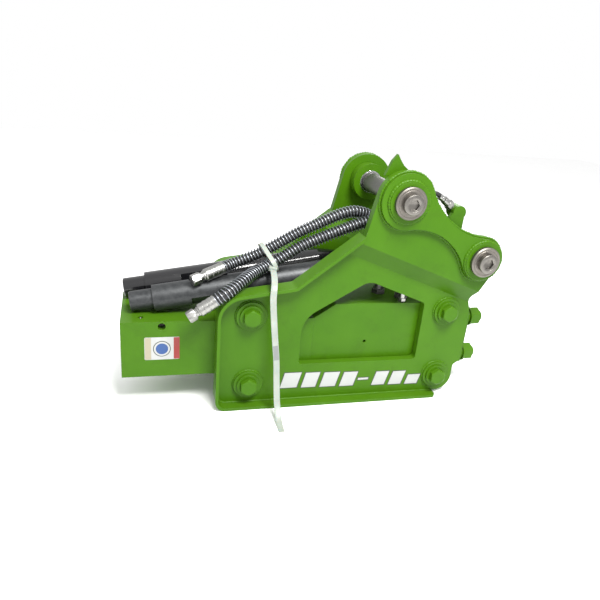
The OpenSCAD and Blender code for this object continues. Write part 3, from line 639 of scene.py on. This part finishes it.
# ---------------------------------------------------------------- welds
def eye_centre(node):
    """The (x, z) of an arm pin's axis."""
    low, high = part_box(node)
    return Vector(((low.x + high.x) / 2, (low.z + high.z) / 2))


def doubler_line(y):
    """The outline of the doubler plate: two lobes, a saddle above and a waist below."""
    up, low = eye_centre("upper_pin"), eye_centre("lower_pin")
    ru, rl = 0.0705, 0.0585
    saddle_r, waist_r = 0.2015, 0.1585
    saddle, waist = touching_circle(up, ru, low, rl, saddle_r), touching_circle(low, rl, up, ru, waist_r)

    def toward(a, b):
        return math.degrees(math.atan2((b - a).y, (b - a).x))

    path = arc(up, ru, toward(up, waist) % 360, toward(up, saddle), y)
    path += arc(saddle, saddle_r, toward(saddle, up) % 360, toward(saddle, low) % 360, y)
    path += arc(low, rl, toward(low, saddle), toward(low, waist) % 360 - 360, y)
    path += arc(waist, waist_r, toward(waist, low), toward(waist, up) % 360, y)
    return path


def make_welds():
    """Beads round the rim, the doubler, the pin bosses and the bolt bosses of both side plates."""
    ear = -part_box("near_side_plate")[0].y
    doubler = -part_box("near_doubler")[0].y
    rim = [(0.354, 0.008), (-0.264, 0.008), (-0.264, 0.304), (-0.079, 0.3315), (0.074, 0.4545)]
    bolts = [(x, z) for x in (-0.186, 0.354) for z in (0.063, 0.257)]
    for side, sign in (("near", -1), ("far", 1)):
        bead(f"{side}_rim_weld", rounded_line(rim, (0.020, 0.057, 0.030), sign * PLATE_FACE), 3.2 * MM, sign)
        bead(f"{side}_doubler_weld", doubler_line(sign * ear), 4.0 * MM, sign + 3, closed=True)
        for node in ("upper_pin", "lower_pin"):
            ring = arc(eye_centre(node), 0.0508, 0, 360, sign * doubler)[:-1]
            bead(f"{side}_{node}_boss_weld", ring, 4.8 * MM, sign + 5, closed=True)
        for k, spot in enumerate(bolts):
            ring = arc(spot, 0.0385, 0, 360, sign * PLATE_FACE)[:-1]
            bead(f"{side}_bolt_boss_weld_{k}", ring, 3.2 * MM, sign + k, closed=True)


make_welds()


# ---------------------------------------------------------------- marks
def flat_mark(name, outline, y, material, thick=0.25 * MM):
    """A thin film with an (x, z) outline on a face that looks along -Y; y is the film's outer face."""
    n = len(outline)
    points = [(x, y, z) for x, z in outline] + [(x, y + thick, z) for x, z in outline]
    faces = [tuple(range(n)), tuple(range(2 * n - 1, n - 1, -1))]
    faces += [(k, n + k, n + (k + 1) % n, (k + 1) % n) for k in range(n)]
    return add_mesh(name, points, faces, material, smooth=False)


def slanted(x0, x1, z0, z1, lean, grow=0.0):
    """The (x, z) outline of a block whose top is shifted by `lean`, larger by `grow` on every side."""
    return [(x0 - grow, z0 - grow), (x1 + grow, z0 - grow),
            (x1 + lean + grow, z1 + grow), (x0 + lean - grow, z1 + grow)]


def name_band():
    """Plain slanted blocks where the plate has a name: no lettering. It narrows a little to the right."""
    start, span, lean, gap = -0.098, 0.407, 0.011, 0.0125
    x = start
    for k, (width, tall) in enumerate(((46, 1), (40, 1), (44, 1), (40, 1), (30, 0.12), (38, 1), (38, 1), (38, 0.72))):
        share = (x - start) / span
        low, high = 0.042 - 0.010 * share, 0.087 - 0.015 * share
        if tall < 0.5:
            low, high = low + 0.42 * (high - low), low + 0.56 * (high - low)
        else:
            high = low + tall * (high - low)
        w = width * MM
        block = (x, x + w, low, high, lean * tall)
        # Painted shadow: a dark film a little larger than each block lies under it
        flat_mark(f"band_shadow_{k}", slanted(*block, grow=0.0022), -PLATE_FACE - 0.00025, DARK_PRINT_AND_SHADOW)
        flat_mark(f"band_block_{k}", slanted(*block), -PLATE_FACE - 0.0005, WHITE_MARK)
        x += w + gap


def generic_sticker():
    """A white sticker with a red bar, a pale bar and a blue disc, and nothing written on it."""
    y = -0.103
    left, right, low, high = -0.444, -0.359, 0.132, 0.194
    flat_mark("sticker_base", rounded_box(left, right, low, high, 0.003), y - 0.00025, WHITE_MARK)
    bars = (("red", -0.3735, right, RED_MARK), ("pale", left + 0.001, left + 0.016, SAND_MARK))
    for colour, x0, x1, material in bars:
        bar = [(x0, low + 0.001), (x1, low + 0.001), (x1, high - 0.001), (x0, high - 0.001)]
        flat_mark(f"sticker_{colour}_bar", bar, y - 0.0004, material)
    for k, (radius, material) in enumerate(((0.0215, DARK_PRINT_AND_SHADOW), (0.0195, WHITE_MARK), (0.0150, BLUE_MARK))):
        disc = [(-0.402 + radius * math.cos(math.radians(a)), 0.162 + radius * math.sin(math.radians(a)))
                for a in range(0, 360, 10)]
        flat_mark(f"sticker_disc_{k}", disc, y - 0.0004 - 0.0002 * k, material)


def rounded_box(x0, x1, z0, z1, r):
    """The (x, z) outline of a box with rounded corners."""
    corners = (((x1 - r, z0 + r), -90), ((x1 - r, z1 - r), 0), ((x0 + r, z1 - r), 90), ((x0 + r, z0 + r), 180))
    return [(c[0] + r * math.cos(math.radians(a + d)), c[1] + r * math.sin(math.radians(a + d)))
            for c, a in corners for d in range(0, 91, 30)]


name_band()
generic_sticker()


# ---------------------------------------------------------------- floor and light
def make_stage():
    """A pale floor, so large that its edge fades into the white world."""
    floor = bpy.data.meshes.new("floor")
    half = 6
    floor.from_pydata([(-half, -half, 0), (half, -half, 0), (half, half, 0), (-half, half, 0)], [], [(0, 1, 2, 3)])
    s = Shader("pale_floor")
    s.set(Base_Color=s.mix(s.noise(3, 3), (0.93, 0.93, 0.93), (0.96, 0.96, 0.96)), Roughness=0.9)
    floor.materials.append(s.material)
    piece = bpy.data.objects.new("floor", floor)
    bpy.context.scene.collection.objects.link(piece)


def area_light(name, place, target, size, power, colour=(1, 1, 1)):
    data = bpy.data.lights.new(name, "AREA")
    data.shape = "RECTANGLE"
    data.size, data.size_y = size
    data.energy = power
    data.color = colour
    light = bpy.data.objects.new(name, data)
    light.location = place
    light.rotation_euler = (Vector(target) - Vector(place)).to_track_quat("-Z", "Y").to_euler()
    bpy.context.scene.collection.objects.link(light)


def make_light():
    """A white world, a strong soft light above and in front, and weak ones at the left and behind."""
    world = bpy.data.worlds.new("studio")
    world.use_nodes = True
    world.node_tree.nodes["Background"].inputs["Color"].default_value = (1, 1, 1, 1)
    world.node_tree.nodes["Background"].inputs["Strength"].default_value = 1.0
    bpy.context.scene.world = world
    bpy.context.scene.view_settings.view_transform = "Standard"
    middle = (0, 0, 0.3)
    area_light("overhead", (0.3, -1.5, 2.6), middle, (1.1, 0.9), 160, (1, 0.99, 0.97))
    area_light("left_fill", (-2.2, -1.0, 1.6), middle, (1.0, 1.0), 8)
    area_light("back_rim", (1.4, 1.8, 1.8), middle, (1.2, 1.2), 24)


make_stage()
make_light()
